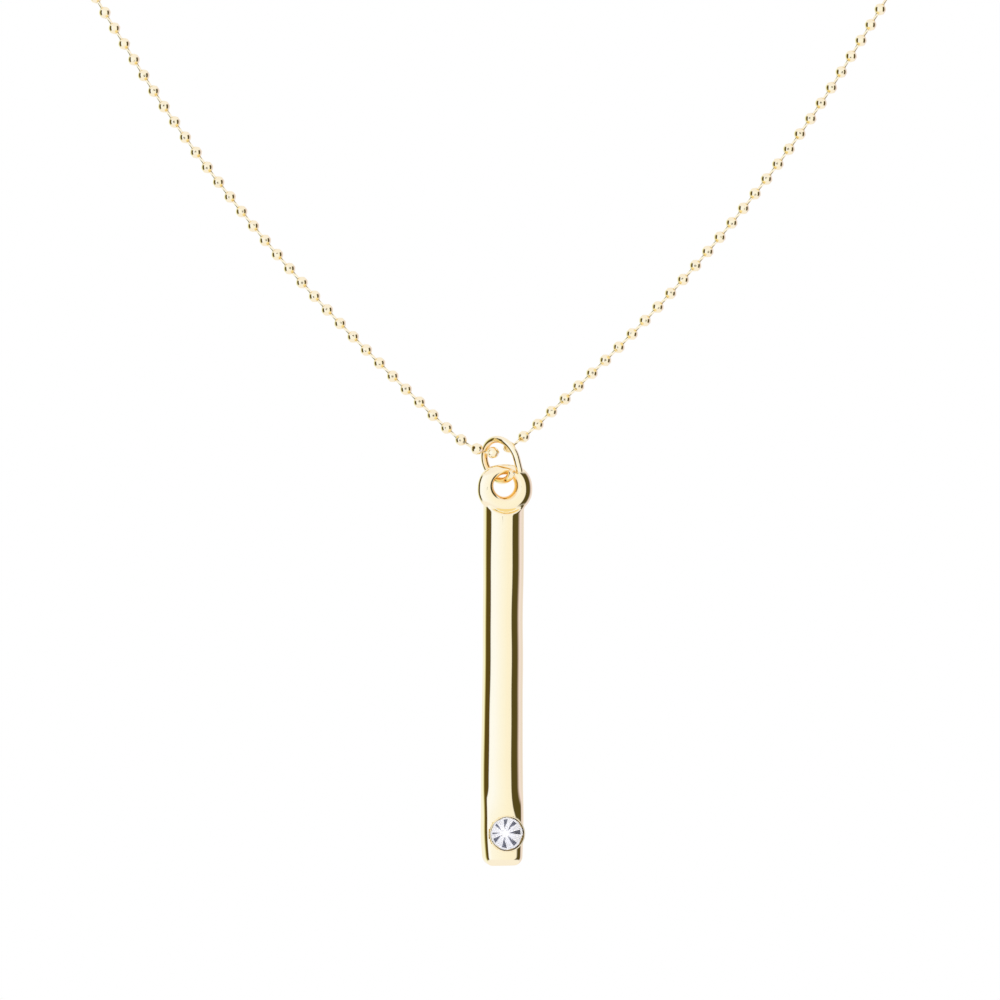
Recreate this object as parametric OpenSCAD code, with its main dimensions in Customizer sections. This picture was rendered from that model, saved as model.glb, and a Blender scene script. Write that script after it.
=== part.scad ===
// Bar pendant on a ball chain necklace, all in millimetres.
// The necklace hangs as it is worn: the clasp at the nape is the origin, +Z is up,
// -Y is the wearer's front and +X is to the right of someone who faces the wearer.

/* [Bar] */
// Width of the bar across its front
bar_w = 4.5; // [4:0.1:6]
// Depth of the bar from front to back
bar_t = 2.6; // [2.4:0.1:3.2]
// Length of the bar below its shoulders
bar_len = 39.0; // [20:1:60]
// Radius of the long soft edges at the front
front_edge_r = 1.0; // [0.7:0.05:1.15]
// Radius of the long edges at the back
back_edge_r = 0.5; // [0.2:0.05:0.7]
// Rise of the rounded front over its long edges
front_rise = 1.3; // [0.4:0.05:1.5]
// Radius of the two corners at the foot, seen from the front
foot_corner_r = 0.9; // [0.5:0.1:1.4]
// Radius of the foot's edges, seen from the side
foot_edge_r = 0.7; // [0.3:0.1:1]
// Turn of the bar's front to the viewer's right, in degrees
bar_yaw = 13; // [5:1:16]
// Lean of the bar's foot to the viewer's left, in degrees
bar_lean = 0.2; // [0:0.1:2]
// Tilt of the bar's foot towards the wearer, in degrees
bar_tilt = 0.8; // [0:0.1:2]

/* [Loop] */
// Width of the cast loop on top of the bar
loop_d = 5.8; // [5.4:0.05:5.9]
// Depth of the loop from front to back
loop_t = 1.55; // [1.4:0.05:1.6]
// Radius of the loop's flat middle, before its faces fall away to the edge
loop_crest_r = 1.7; // [1.5:0.05:1.8]
// Radius of the loop's outer edge
loop_edge_r = 0.4; // [0.3:0.05:0.5]
// Width of the hole in the loop
loop_hole = 2.35; // [2.25:0.05:2.5]
// Height of the hole's middle above the loop's middle
hole_rise = 0.57; // [0.45:0.02:0.65]
// Straight part of the hole's wall, between its rounded edges
hole_straight = 0.16; // [0.1:0.02:0.3]
// Height from the loop's middle down to the bar's shoulders
shoulder_drop = 1.15; // [1:0.05:1.4]
// Depth of the groove between the loop and the bar's front
loop_groove = 0.3; // [0.1:0.05:0.4]

/* [Stone] */
// Diameter of the crystal at its girdle
stone_d = 3.5; // [2.5:0.1:3.7]
// Number of main facets round the crystal
stone_facets = 8; // [8:1:12]
// Width of the table as a share of the girdle
table_share = 0.42; // [0.3:0.02:0.6]
// Height of the crown above the girdle
crown_h = 0.5; // [0.3:0.05:0.7]
// Thickness of the girdle
girdle_h = 0.12; // [0.08:0.02:0.2]
// Depth of the pavilion below the girdle
pavilion_h = 1.3; // [0.8:0.1:1.4]
// Height of the crystal's centre above the foot of the bar
stone_rise = 3.5; // [3:0.1:8]
// Distance of the crystal's centre to the right of the bar's middle
stone_aside = 0.2; // [0:0.05:0.25]
// Thickness of the cup's rim round the crystal
rim_wall = 0.14; // [0.1:0.02:0.2]
// Height of the rim above the bar's front
rim_h = 0.12; // [0.05:0.01:0.2]
// Rise of the bar's squarer front round the crystal
swell_rise = 0.4; // [0.3:0.05:0.8]
// Depth over which the swell runs out into the bar
swell_h = 1.1; // [0.8:0.05:1.3]
// Distance over which the swell runs out along the bar
swell_run = 1.2; // [0.6:0.1:2]
// Gap between the crystal and its cup
stone_gap = 0.06; // [0.05:0.01:0.08]
// Width of the cup at its foot, under the point of the crystal
cup_foot_d = 0.9; // [0.6:0.1:1.4]

/* [Jump ring] */
// Wire of the jump ring
ring_wire = 0.76; // [0.6:0.02:0.8]
// Radius of the jump ring at the middle of its wire
ring_r = 2.24; // [2.2:0.02:2.3]
// Turn of the ring out of the front plane, in degrees
ring_yaw = 45; // [43:1:47]
// Lean of the ring's top to the front, square to the rising wire, in degrees
ring_lean = 16; // [14:1:18]
// Sideways step from one end of the sprung ring to the other
ring_spread = 0.84; // [0.82:0.02:0.92]
// Length of the end that has been bent straight
ring_stub = 1.5; // [1.2:0.1:1.6]
// Gap between the top of the ring and the beads under it
ring_gap = 0.11; // [0.1:0.01:0.2]
// Play between the hole's top and the foot of the ring
loop_play = 0.27; // [0.24:0.01:0.32]

/* [Chain] */
// Diameter of a bead before its facets
bead_d = 1.2; // [1:0.05:1.25]
// Distance from one bead to the next
bead_pitch = 2.0; // [1.9:0.05:2.4]
// Thickness of the wire that joins the beads
pin_d = 0.3; // [0.2:0.02:0.36]
// Gap between the wire and the bore of a bead
bore_gap = 0.1; // [0.1:0.01:0.12]

/* [Clasp] */
// Wall of the sleeve that joins the ends of the chain
clasp_wall = 0.25; // [0.2:0.05:0.4]
// Gap between an end bead and the sleeve
clasp_gap = 0.12; // [0.1:0.02:0.2]

/* [Hidden] */
$fn = 64;
front_sides = 128;
loop_sides = 32;
bead_sides = 32;
bore_sides = 16;
ring_sides = 12;
pin_sides = 6;

gold = [0.93, 0.77, 0.44];
crystal = [0.92, 0.95, 0.98];

// The lowest bead of the chain lies in front of the nape and below it
low_front = 108;
low_drop = 90.5;
low_bead = [0, -low_front, -low_drop];

// Route of the chain, as [x, y, z] points chosen by hand, from its lowest bead.
// Its dip passes through the jump ring: the left strand comes in at the front of
// the ring and the right strand leaves at its back.
dip_left = [
    [-6.30, -1.20, 3.86],
    [-3.42, -1.27, 1.34],
    [-1.71, -0.89, 0.37],
];
dip_right = [
    [1.74, 0.83, 0.59],
    [3.32, 1.24, 1.73],
    [6.30, 1.20, 4.42],
];
// Above the dip both strands rise to the shoulders
rise = [
    [13.7, 0.0, 11.1],
    [18.9, 0.1, 16.5],
    [23.7, 0.3, 21.9],
    [28.1, 0.4, 27.3],
    [32.2, 0.5, 32.7],
    [36.0, 0.6, 38.2],
    [39.4, 0.9, 43.6],
    [42.7, 1.8, 49.0],
    [45.9, 4.6, 55.1],
    [48.8, 11.0, 61.2],
    [51.1, 20.5, 67.0],
];
// Then they go round the neck to the clasp, here as points from the clasp
round_neck = [
    [52.6, -73.0, -17.9],
    [52.6, -61.5, -13.3],
    [50.9, -49.5, -9.5],
    [47.2, -38.0, -6.5],
    [41.6, -27.2, -4.1],
    [34.3, -17.6, -2.3],
    [25.6, -9.6, -1.1],
    [15.9, -3.7, -0.4],
    [5.5, -0.4, 0.0],
    [0, 0, 0],
];
strand = concat(rise, [for (p = round_neck) p - low_bead]);
// Above the ring the strands lie this far in front and behind, less with height
sway = 1.25;
sway_fade = 9;
function on_side(p, side) = [side * p.x, p.y + side * sway / (1 + pow(p.z / sway_fade, 2)), p.z];
// The right strand hangs this far inside the mirror image of the left, less towards the nape
right_inset = [-0.22, 0, 0.2];
function inset_at(p) = right_inset * (1 - p.y / low_front);

strand_last = len(strand) - 1;
left_route = [for (i = [strand_last : -1 : 0]) on_side(strand[i], -1)];
right_route = [for (p = strand) on_side(p, 1) + inset_at(p)];
route = concat(left_route, dip_left, [[0, 0, 0]], dip_right, right_route);
low_index = len(left_route) + len(dip_left);

// Smooth curve through the route, as points close together
route_steps = 16;
function unit(v) = v / norm(v);
function at_route(i) = route[min(max(i, 0), len(route) - 1)];
function spline(a, b, c, d, t) =
    0.5 * (2 * b + (c - a) * t + (2 * a - 5 * b + 4 * c - d) * t * t
    + (3 * b - a - 3 * c + d) * t * t * t);
curve = [
    for (i = [0 : len(route) - 2])
        for (j = [0 : route_steps - 1])
            spline(at_route(i - 1), at_route(i), at_route(i + 1), at_route(i + 2), j / route_steps),
    route[len(route) - 1],
];

// Length along the curve at each of its points
function step_from(i) = i + 1 < len(curve) ? norm(curve[i + 1] - curve[i]) : 0;
reach = [for (i = 0, s = 0; i < len(curve); s = s + step_from(i), i = i + 1) s];
total_length = reach[len(reach) - 1];
low_reach = reach[low_index * route_steps];
by_x = [for (i = [0 : len(curve) - 1]) [reach[i], curve[i].x]];
by_y = [for (i = [0 : len(curve) - 1]) [reach[i], curve[i].y]];
by_z = [for (i = [0 : len(curve) - 1]) [reach[i], curve[i].z]];
function along(s) = low_bead + [lookup(s, by_x), lookup(s, by_y), lookup(s, by_z)];

// Beads are counted from the lowest one, to the left as negative numbers
bead_r = bead_d / 2;
pin_r = pin_d / 2;
end_reach = bead_r + clasp_gap;
beads_left = floor((low_reach - end_reach) / bead_pitch);
beads_right = floor((total_length - low_reach - end_reach) / bead_pitch);
function bead_at(n) = along(low_reach + n * bead_pitch);
function bead_way(n) =
    unit(along(low_reach + n * bead_pitch + bead_r) - along(low_reach + n * bead_pitch - bead_r));

// Turns +Z to the direction v
function turn_to(v) = [0, acos(v.z / norm(v)), atan2(v.y, v.x)];

// Ring of points round a wire that runs in the direction way
function hoop(at, way, up, r, sides) =
    let (u = unit(cross(up, way)), v = cross(way, u))
    [for (k = [0 : sides - 1]) at + r * (cos(360 * k / sides) * u + sin(360 * k / sides) * v)];

// Solid wire through rings of points
module wire_through(hoops, sides) {
    count = len(hoops);
    points = [for (h = hoops) for (p = h) p];
    sides_faces = [
        for (i = [0 : count - 2])
            for (k = [0 : sides - 1])
                [
                    i * sides + k,
                    (i + 1) * sides + k,
                    (i + 1) * sides + (k + 1) % sides,
                    i * sides + (k + 1) % sides,
                ],
    ];
    first = [for (k = [0 : sides - 1]) k];
    last = [for (k = [sides - 1 : -1 : 0]) (count - 1) * sides + k];
    polyhedron(points, concat([first], sides_faces, [last]), convexity = 20);
}

// The bar, in its own frame: the loop's centre is the origin and -Y is the front
loop_r = loop_d / 2;
hole_r = loop_hole / 2;
// The hole's middle lies this far to the left, and its edges are cut a little past the faces
hole_aside = -0.1;
hole_flare_lift = 0.03;
bar_half = bar_w / 2;
front = -bar_t / 2;
back = bar_t / 2;
foot = -shoulder_drop - bar_len;
collar_sink = 0.54;
collar_r = loop_r - collar_sink;

// Section across the bar: rounded front, soft front edges, smaller back edges
module bar_section(rise) {
    front_r = (pow(bar_half, 2) + pow(rise, 2)) / (2 * rise);
    front_centre = front + front_r;
    edge_x = bar_half - front_edge_r;
    edge_y = front_centre - sqrt(pow(front_r - front_edge_r, 2) - pow(edge_x, 2));
    reach_out = front_r / (front_r - front_edge_r);
    touch_x = edge_x * reach_out;
    touch_y = front_centre + (edge_y - front_centre) * reach_out;
    for (side = [-1, 1]) {
        translate([side * edge_x, edge_y]) circle(front_edge_r);
        translate([side * (bar_half - back_edge_r), back - back_edge_r]) circle(back_edge_r);
    }
    translate([-bar_half, edge_y]) square([bar_w, back - back_edge_r - edge_y]);
    translate([-bar_half + back_edge_r, edge_y]) square([bar_w - 2 * back_edge_r, back - edge_y]);
    intersection() {
        translate([0, front_centre]) circle(front_r, $fn = front_sides);
        polygon([
            [-touch_x, touch_y],
            [-edge_x, edge_y],
            [edge_x, edge_y],
            [touch_x, touch_y],
            [touch_x, front - front_r],
            [-touch_x, front - front_r],
        ]);
    }
}

// Outline of the bar from the front
module bar_outline() {
    translate([-bar_half, foot + foot_corner_r]) square([bar_w, bar_len - foot_corner_r]);
    translate([-bar_half + foot_corner_r, foot]) square([bar_w - 2 * foot_corner_r, bar_len]);
    for (side = [-1, 1])
        translate([side * (bar_half - foot_corner_r), foot + foot_corner_r]) circle(foot_corner_r);
}

// Outline of the bar from the side
module bar_profile() {
    translate([front, foot + foot_edge_r]) square([bar_t, bar_len - foot_edge_r]);
    translate([front + foot_edge_r, foot]) square([bar_t - 2 * foot_edge_r, bar_len]);
    for (y = [front + foot_edge_r, back - foot_edge_r])
        translate([y, foot + foot_edge_r]) circle(foot_edge_r);
}

module bar_column(rise) {
    intersection() {
        translate([0, 0, foot]) linear_extrude(bar_len) bar_section(rise);
        translate([0, bar_t, 0]) rotate([90, 0, 0]) linear_extrude(2 * bar_t) bar_outline();
        translate([-bar_w, 0, 0]) rotate([90, 0, 90]) linear_extrude(2 * bar_w) bar_profile();
    }
}

// Cup of the crystal
cup_r = stone_d / 2 + stone_gap;
rim_r = cup_r + rim_wall;
stone_z = foot + stone_rise;
rim_front = front - rim_h;

// Moves a child from the rim's front to the crystal's place, its +Z into the bar
module on_stone_axis() {
    translate([stone_aside, rim_front, stone_z]) rotate([-90, 0, 0]) children();
}

// Round the crystal the front is squarer, which runs out from the rim in a cone
module swell() {
    on_stone_axis() cylinder(r = rim_r, h = rim_h + swell_h);
    intersection() {
        bar_column(swell_rise);
        on_stone_axis() translate([0, 0, rim_h])
            cylinder(r1 = rim_r, r2 = rim_r + swell_run, h = swell_h);
    }
}

module cup() {
    straight = crown_h + girdle_h + stone_gap;
    on_stone_axis() {
        translate([0, 0, -crown_h]) cylinder(r = cup_r, h = straight + crown_h);
        translate([0, 0, straight]) cylinder(r1 = cup_r, r2 = cup_foot_d / 2, h = pavilion_h);
    }
}

// Half of the section through the loop: flat round the hole, domed towards a small edge
module loop_section() {
    half = loop_t / 2;
    edge_x = loop_r - loop_edge_r;
    run = edge_x - loop_crest_r;
    dome_r = (pow(run, 2) + pow(half, 2) - pow(loop_edge_r, 2)) / (2 * (half - loop_edge_r));
    dome_in = dome_r - half;
    reach_out = loop_edge_r / (dome_r - loop_edge_r);
    touch_x = edge_x + run * reach_out;
    touch_y = dome_in * reach_out;
    translate([0, -half]) square([loop_crest_r, loop_t]);
    translate([edge_x, 0]) circle(loop_edge_r, $fn = loop_sides);
    for (side = [-1, 1]) scale([1, side]) intersection() {
        translate([loop_crest_r, -dome_in]) circle(dome_r);
        polygon([
            [loop_crest_r, 0],
            [edge_x, 0],
            [touch_x, touch_y],
            [touch_x, loop_t],
            [loop_crest_r, loop_t],
        ]);
    }
}

// Half of the section through the hole, which flares out to both faces
module hole_section() {
    flare_r = (loop_t - hole_straight) / 2 + hole_flare_lift;
    difference() {
        translate([0, -loop_t]) square([hole_r + flare_r, 2 * loop_t]);
        translate([hole_r, -hole_straight / 2]) square([2 * flare_r, hole_straight]);
        for (side = [-1, 1])
            translate([hole_r + flare_r, side * hole_straight / 2]) circle(flare_r);
    }
}

module loop() {
    rotate([90, 0, 0]) difference() {
        rotate_extrude() loop_section();
        translate([hole_aside, hole_rise, 0]) rotate_extrude() hole_section();
    }
}

module placed_bar() {
    translate(loop_at) rotate([bar_tilt, bar_lean, bar_yaw]) children();
}

module bar() {
    color(gold) placed_bar() {
        difference() {
            union() {
                difference() {
                    bar_column(front_rise);
                    rotate([90, 0, 0]) cylinder(r = collar_r, h = 2 * bar_t, center = true);
                    translate([0, front, 0]) rotate([-90, 0, 0])
                        cylinder(r1 = collar_r + loop_groove, r2 = collar_r, h = loop_groove);
                }
                swell();
            }
            cup();
        }
        loop();
    }
}

// Cut crystal: table, crown kites and stars, girdle and pavilion
module stone() {
    n = stone_facets;
    table_r = stone_d / 2 * table_share;
    girdle_r = stone_d / 2;
    function spot(r, step, h) = [r * cos(180 * step / n), r * sin(180 * step / n), h];
    table = [for (i = [0 : n - 1]) spot(table_r, 2 * i, 0)];
    upper = [for (i = [0 : 2 * n - 1]) spot(girdle_r, i, crown_h)];
    lower = [for (i = [0 : 2 * n - 1]) spot(girdle_r, i, crown_h + girdle_h)];
    culet = [[0, 0, crown_h + girdle_h + pavilion_h]];
    u = n;
    l = 3 * n;
    c = 5 * n;
    faces = concat(
        [[for (i = [n - 1 : -1 : 0]) i]],
        [for (i = [0 : n - 1]) [i, (i + 1) % n, u + 2 * i + 1]],
        [for (i = [0 : n - 1]) [i, u + 2 * i + 1, u + 2 * i]],
        [for (i = [0 : n - 1]) [i, u + 2 * i, u + (2 * i + 2 * n - 1) % (2 * n)]],
        [for (i = [0 : 2 * n - 1]) [u + i, u + (i + 1) % (2 * n), l + (i + 1) % (2 * n), l + i]],
        [for (i = [0 : 2 * n - 1]) [l + i, l + (i + 1) % (2 * n), c]]
    );
    color(crystal) placed_bar() on_stone_axis()
        polyhedron(concat(table, upper, lower, culet), faces);
}

// The jump ring hangs on the chain between the lowest bead and the next on its right.
// It is sprung open sideways: one end is bent straight and hangs in front of the loop.
ring_across = [cos(ring_yaw), -sin(ring_yaw), 0];
ring_ahead = [sin(ring_yaw), cos(ring_yaw), 0];
ring_up = cos(ring_lean) * [0, 0, 1] - sin(ring_lean) * ring_ahead;
ring_normal = cos(ring_lean) * ring_ahead + sin(ring_lean) * [0, 0, 1];
// Angle at which the wire starts, from the side where its bent end hangs
ring_open = -30;
// Start of the wire before the plane of the ring's middle
ring_first = -0.13;
// The ring's middle from the wire of the chain, to the right and to the back
ring_aside = [-0.32, -0.45];
ring_arc_steps = 30;
ring_turn = 360 + ring_open;
ring_arc = ring_r * ring_turn * PI / 180;
ring_length = ring_arc + ring_stub;
function ring_plane(s) =
    let (a = ring_open - s / ring_arc * ring_turn)
    s < ring_arc
        ? ring_r * (cos(a) * ring_across + sin(a) * ring_up)
        : ring_r * ring_across - (s - ring_arc) * ring_up;
ring_pin = (bead_at(0) + bead_at(1)) / 2;
ring_rise = bead_r + ring_wire / 2 + ring_gap - ring_r;
ring_at = ring_pin + [ring_aside.x, ring_aside.y, ring_rise];
function ring_point(s) =
    ring_at + ring_plane(s) + (ring_first + s / ring_length * ring_spread) * ring_normal;
ring_probe = 0.05;
function ring_way(s) =
    unit(ring_point(min(s + ring_probe, ring_length)) - ring_point(max(s - ring_probe, 0)));
ring_stops = concat(
    [for (i = [0 : ring_arc_steps]) ring_arc * i / ring_arc_steps],
    [ring_arc + ring_stub / 2, ring_length]
);

module jump_ring() {
    hoops = [
        for (s = ring_stops) hoop(ring_point(s), ring_way(s), ring_normal, ring_wire / 2, ring_sides),
    ];
    color(gold) wire_through(hoops, ring_sides);
}

// The loop of the bar hangs on the foot of the ring, this far to the right and to the back
loop_aside = [0.74, 0.32];
loop_fall = ring_wire / 2 + loop_play - ring_r * cos(ring_lean) - hole_r - hole_rise;
loop_at = ring_at + [loop_aside.x, loop_aside.y, loop_fall];

// One drilled bead of the chain
module bead(n) {
    translate(bead_at(n)) rotate(turn_to(bead_way(n))) difference() {
        sphere(bead_r, $fn = bead_sides);
        cylinder(r = pin_r + bore_gap, h = 2 * bead_d, center = true, $fn = bore_sides);
    }
}

module chain_left() {
    color(gold) for (n = [-beads_left : 0]) bead(n);
}

module chain_right() {
    color(gold) for (n = [1 : beads_right]) bead(n);
}

// The wire runs straight through each bead and bends between them
pin_straight = 0.05;
pin_hold = bead_r + pin_straight;

// Place of a hoop: just outside the mouth of a bore, or in the middle of an end bead
function pin_place(n, side) =
    (n == -beads_left && side < 0) || (n == beads_right && side > 0)
        ? bead_at(n)
        : bead_at(n) + side * pin_hold * bead_way(n);

module chain_wire() {
    hoops = [
        for (n = [-beads_left : beads_right])
            for (side = [-1, 1])
                hoop(pin_place(n, side), bead_way(n), [0, 0, 1], pin_r, pin_sides),
    ];
    color(gold) wire_through(hoops, pin_sides);
}

// Sleeve at the nape that holds the two end beads, slit along its top
module clasp() {
    inner_r = bead_r + clasp_gap;
    outer_r = inner_r + clasp_wall;
    ends = [bead_at(-beads_left), bead_at(beads_right)];
    room = norm(ends[1] - ends[0]) + bead_d + 2 * clasp_gap;
    slit = pin_d + 2 * bore_gap;
    color(gold) translate((ends[0] + ends[1]) / 2) rotate([0, 90, 0]) difference() {
        cylinder(r = outer_r, h = room + 2 * clasp_wall, center = true);
        cylinder(r = inner_r, h = room, center = true);
        cylinder(r = slit / 2, h = 2 * room, center = true);
        translate([-outer_r, 0, 0]) cube([2 * outer_r, slit, 2 * room], center = true);
    }
}

bar();
stone();
jump_ring();
chain_left();
chain_right();
chain_wire();
clasp();
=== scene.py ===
import math

import bmesh
import bpy
import numpy as np
from mathutils import Matrix, Vector


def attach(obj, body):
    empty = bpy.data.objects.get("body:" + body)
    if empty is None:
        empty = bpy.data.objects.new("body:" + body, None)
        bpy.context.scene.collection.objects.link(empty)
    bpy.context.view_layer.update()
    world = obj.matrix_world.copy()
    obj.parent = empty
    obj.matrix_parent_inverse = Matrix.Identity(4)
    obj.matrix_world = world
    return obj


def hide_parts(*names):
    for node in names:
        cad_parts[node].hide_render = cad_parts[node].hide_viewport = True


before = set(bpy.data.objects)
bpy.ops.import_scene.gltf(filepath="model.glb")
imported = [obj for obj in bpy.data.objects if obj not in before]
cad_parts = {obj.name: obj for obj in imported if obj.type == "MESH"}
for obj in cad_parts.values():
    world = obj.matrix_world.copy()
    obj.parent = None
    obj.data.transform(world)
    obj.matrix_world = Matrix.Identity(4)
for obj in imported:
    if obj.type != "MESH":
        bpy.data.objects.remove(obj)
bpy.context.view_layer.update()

# Lengths below are in millimetres, and meshes are made in metres
MM = 0.001

# Bar
BAR_W = 4.5
BAR_T = 2.6
BAR_LEN = 39.0
BAR_HALF = BAR_W / 2
BAR_FRONT = -BAR_T / 2
BAR_BACK = BAR_T / 2
FRONT_RISE = 1.3
FRONT_EDGE = 1.0
BACK_EDGE = 0.5
FOOT_EDGE = 1.0
SHOULDER_EDGE = 0.2
SHOULDER_DROP = 1.15
FOOT = -SHOULDER_DROP - BAR_LEN
BAR_YAW = 13.0
BAR_LEAN = 0.2
BAR_TILT = 0.8

# The bar's skin: cell of the grid, margin in cells, and how points settle on the surface
SKIN_CELL = 0.12
SKIN_MARGIN = 2.5
SETTLE_ROUNDS = 4
SETTLE_MOST = 0.5
SLOPE_STEP = 0.004
SLOPE_LEAST = 0.05

# Hand polishing left the upper bar narrower, its foot drawn in, most at the left, and waves
WIDTH_SHARE = 0.992
WAIST = 0.034
WAIST_FROM = 0.22
WAIST_TO = 0.5
DIP = 0.014
DIP_AT = 0.67
DIP_LENGTH = 4.0
FOOT_TAPER = 0.4
FOOT_TAPER_RIGHT = -0.35
FOOT_TAPER_H = 4.5
WAVE = 0.014
LONG_WAVE = 2.1
LONG_SLANT = 0.6
SHORT_WAVE = 1.27
SHORT_SLANT = 0.9
SHORT_SHARE = 0.6
SHORT_START = 1.3

# Loop on top of the bar: domed towards its edge, with a hole above its middle
LOOP_R = 2.9
LOOP_HALF = 0.775
LOOP_CREST_R = 1.7
LOOP_EDGE = 0.5
HOLE_R = 1.175
HOLE_AT = (-0.1, 0.57)
HOLE_EDGE = 0.68
COLLAR_SINK = 0.54
COLLAR_R = LOOP_R - COLLAR_SINK
COLLAR_EDGE = 0.34
LOOP_FILLET = 0.2
LOOP_SQUARE = 2.4
LOOP_WIDE = 1.035
LOOP_LIFT = 0.08
LOOP_TOP = 0.96
LOOP_LOW = 0.9
# Painted reflection on the wall of the loop's hole, a deeper orange standing in for gold mirrored
# in gold: how far it runs out, its side, evenness and lean
PAINTED_REFLECTION_RUN = 0.45
PAINTED_REFLECTION_SIDE = -20.0
PAINTED_REFLECTION_EVEN = 0.55
PAINTED_REFLECTION_LEAN = 0.6

# Crystal, its cup and the squarer front round it
STONE_R = 1.75
STONE_RISE = 3.5
STONE_Z = FOOT + STONE_RISE
STONE_ASIDE = 0.2
# Angle and half-width of the narrow facets painted dark as reflections
WEDGES = ((93, 8), (52, 9), (6, 9), (-50, 9), (-98, 10), (-150, 9), (179, 3), (139, 5))
WEDGE_IN = 0.2
WEDGE_OUT = 0.86
TABLE_SHARE = 0.42
CROWN_H = 0.5
SKIN_CROWN_H = 0.3
GIRDLE_H = 0.12
PAVILION_H = 1.3
STONE_GAP = 0.06
CUP_R = STONE_R + STONE_GAP
RIM_WALL = 0.14
RIM_R = CUP_R + RIM_WALL
CUP_MIDDLE = (CUP_R + RIM_R) / 2
CUP_FOOT_R = 0.45
RIM_H = 0.12
RIM_FRONT = BAR_FRONT - RIM_H
RIM_SINK = 0.7
RIM_PAST = 0.1
RIM_SHADED = 4
RIM_SIDES = 96
RIM_ARC_STEP = 20
SWELL_RISE = 0.45
SWELL_NEAR = 0.8
SWELL_FAR = 5.2

# Jump ring, sprung open sideways with one end bent straight
RING_WIRE = 0.76
RING_R = 2.24
RING_YAW = 45.0
RING_LEAN = 16.0
RING_SPREAD = 0.84
RING_STUB = 1.5
RING_GAP = 0.11
RING_OPEN = -30.0
RING_FIRST = -0.13
RING_ASIDE = (-0.32, -0.45)
RING_SIDES = 28
RING_STEPS = 132
RING_CUT_EDGE = 0.08
# Painted reflection on the ring's inner side, standing in for gold mirrored in gold
RING_PAINTED_REFLECTION = 0.6

# The loop hangs on the foot of the ring
LOOP_PLAY = 0.27
LOOP_ASIDE = (0.74, 0.32)

# Chain of cut beads
BEAD_R = 0.6
BEAD_SKIN_R = 0.64
BEAD_SIDES = 24
BEAD_RINGS = 11
BEAD_MOUTH = 0.25
FLATS_ROUND = 4
FLAT_ANGLE = 20.5
ROW_ANGLE = 17.5
ROW_LATITUDE = 43.0
FLAT_DOME = 1.2
PIN_R = 0.15
ROLL_JITTER = 1.3
TIP_JITTER = 1.0
TIP_MOST = 8.0
ROLL_SEED = 7

# Camera
VIEW_WIDTH = 107.0
VIEW_LENS = 200.0
SENSOR = 36.0
VIEW_CENTRE = (0.749, -108.0, -95.58)
VIEW_AWAY = VIEW_WIDTH * VIEW_LENS / SENSOR
VIEWER = np.array(VIEW_CENTRE) - (0, VIEW_AWAY, 0)


def mesh_piece(name, points, faces, body, materials, face_material=None, smooth=True):
    """A mesh made of points in millimetres, which rides on a body"""
    mesh = bpy.data.meshes.new(name)
    mesh.from_pydata((np.asarray(points, float) * MM).tolist(), [], faces)
    mesh.polygons.foreach_set("use_smooth", [smooth] * len(mesh.polygons))
    for material in materials:
        mesh.materials.append(material)
    if face_material is not None:
        mesh.polygons.foreach_set("material_index", face_material)
    mesh.update()
    piece = bpy.data.objects.new(name, mesh)
    bpy.context.scene.collection.objects.link(piece)
    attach(piece, body)
    return piece


def mark_painted_reflection(piece, amounts):
    """Stores how much painted reflection each point gets, a deeper orange standing in for gold
    mirrored in gold, for the gold's tint
    """
    layer = piece.data.attributes.new("painted_reflection", "FLOAT", "POINT")
    layer.data.foreach_set("value", np.asarray(amounts, np.float32))


# Places taken from the frame


def loose_middles(node):
    """Middles of the loose solids of a CAD node, in millimetres"""
    solid = bmesh.new()
    solid.from_mesh(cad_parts[node].data)
    bmesh.ops.remove_doubles(solid, verts=solid.verts, dist=1e-6)
    seen = set()
    middles = []
    for start in solid.verts:
        if start.index in seen:
            continue
        seen.add(start.index)
        stack = [start]
        low = start.co.copy()
        high = start.co.copy()
        while stack:
            vert = stack.pop()
            low = Vector(map(min, low, vert.co))
            high = Vector(map(max, high, vert.co))
            for edge in vert.link_edges:
                other = edge.other_vert(vert)
                if other.index not in seen:
                    seen.add(other.index)
                    stack.append(other)
        middles.append(np.array((low + high) / 2) / MM)
    solid.free()
    return middles


def strung(middles, start):
    """Bead middles in their order along the chain, from the one nearest to start"""
    left = list(middles)
    order = []
    at = np.array(start, float)
    while left:
        nearest = min(range(len(left)), key=lambda i: np.linalg.norm(left[i] - at))
        at = left.pop(nearest)
        order.append(at)
    return order


left_beads = loose_middles("chain_left")
lowest = min(left_beads, key=lambda p: p[2])
left_beads = strung(left_beads, lowest)
right_beads = strung(loose_middles("chain_right"), lowest)

ring_rise = BEAD_R + RING_WIRE / 2 + RING_GAP - RING_R
ring_middle = (left_beads[0] + right_beads[0]) / 2 + np.array((*RING_ASIDE, ring_rise))
ring_foot = RING_R * math.cos(math.radians(RING_LEAN))
loop_fall = RING_WIRE / 2 + LOOP_PLAY - ring_foot - HOLE_R - HOLE_AT[1]
loop_middle = ring_middle + np.array((*LOOP_ASIDE, loop_fall))

bar_turn = (
    Matrix.Rotation(math.radians(BAR_YAW), 3, "Z")
    @ Matrix.Rotation(math.radians(BAR_LEAN), 3, "Y")
    @ Matrix.Rotation(math.radians(BAR_TILT), 3, "X")
)


def hung(points):
    """Points of the bar's own frame, whose origin is the loop's middle, as it hangs"""
    return np.asarray(points, float) @ np.array(bar_turn).T + loop_middle


# Materials


def new_group(name, inputs, outputs):
    """An empty shader node group with its named sockets"""
    group = bpy.data.node_groups.new(name, "ShaderNodeTree")
    for label, kind, value in inputs:
        socket = group.interface.new_socket(label, in_out="INPUT", socket_type=kind)
        socket.default_value = value
    for label, kind in outputs:
        group.interface.new_socket(label, in_out="OUTPUT", socket_type=kind)
    enter = group.nodes.new("NodeGroupInput")
    leave = group.nodes.new("NodeGroupOutput")
    return group, enter, leave


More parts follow.
